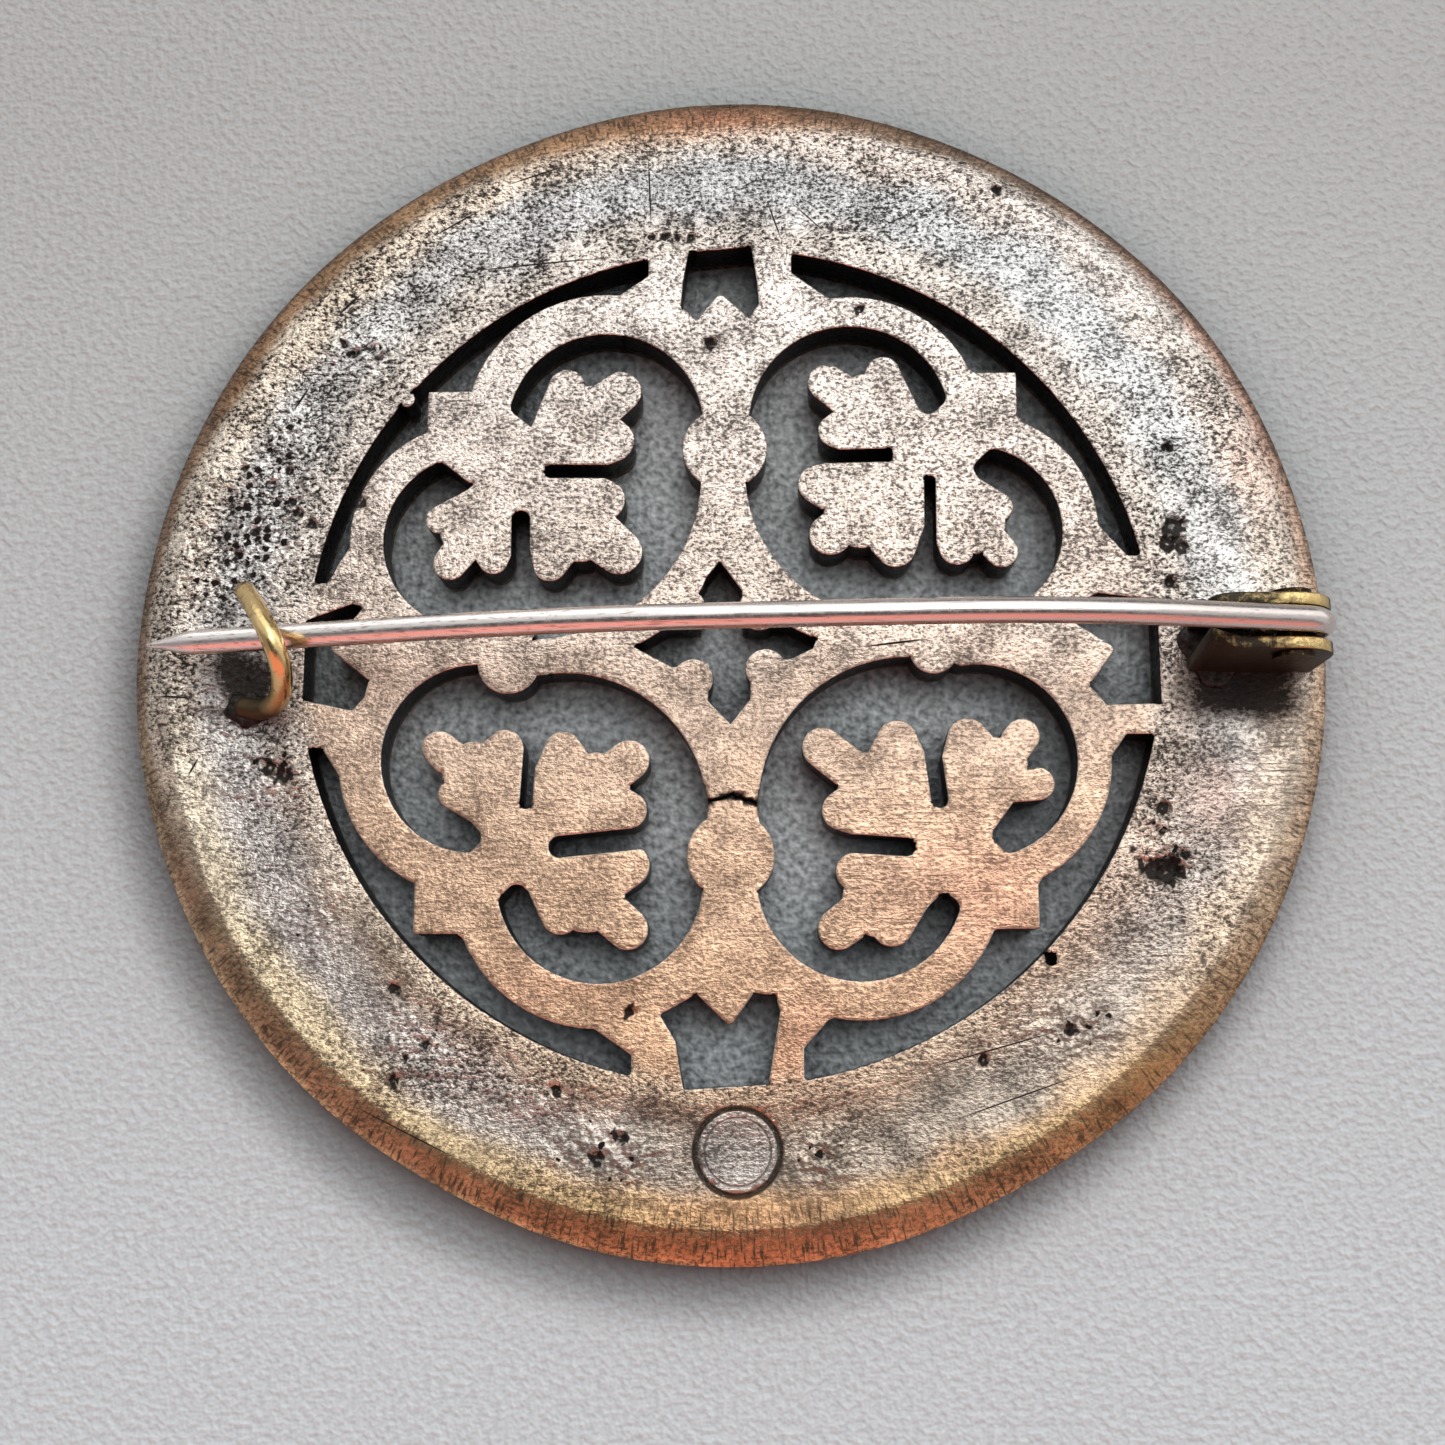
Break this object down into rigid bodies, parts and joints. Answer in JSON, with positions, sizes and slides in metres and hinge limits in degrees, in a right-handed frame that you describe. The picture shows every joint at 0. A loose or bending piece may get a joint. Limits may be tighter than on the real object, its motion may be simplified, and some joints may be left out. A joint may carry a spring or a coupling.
{
  "type": "bronze brooch",
  "caption": "Round pierced bronze brooch, back up, with leaf tracery in a plain border, a sprung pin hinged between two ears and a wire catch.",
  "frame": {"origin": "on the surface that the front rests on, under the middle of the disc", "axes": "+Z out of the back, towards the pin; +Y to the top of the pattern; +X from the catch to the hinge"},
  "size_m": [0.06, 0.06, 0.0108],
  "materials": {
    "cast_bronze": "cast tin bronze, filed on the back and tarnished, with a soldered brass hinge and catch",
    "brass_wire": "drawn brass, worn",
    "pin_wire": "drawn white metal wire, polished"
  },
  "bodies": {
    "disc": {"brooch_disc": "cast_bronze", "hinge_rivet": "brass_wire"},
    "pin": {"pin_stem": "pin_wire"}
  },
  "joints": [
    {"name": "pin_hinge", "type": "hinge", "parent": "disc", "child": "pin", "pos_m": [0.0269, 0.00005, 0.0068], "axis": [0, 1, 0], "range_deg": [0, 170], "deforming": ["pin_stem"]}
  ]
}
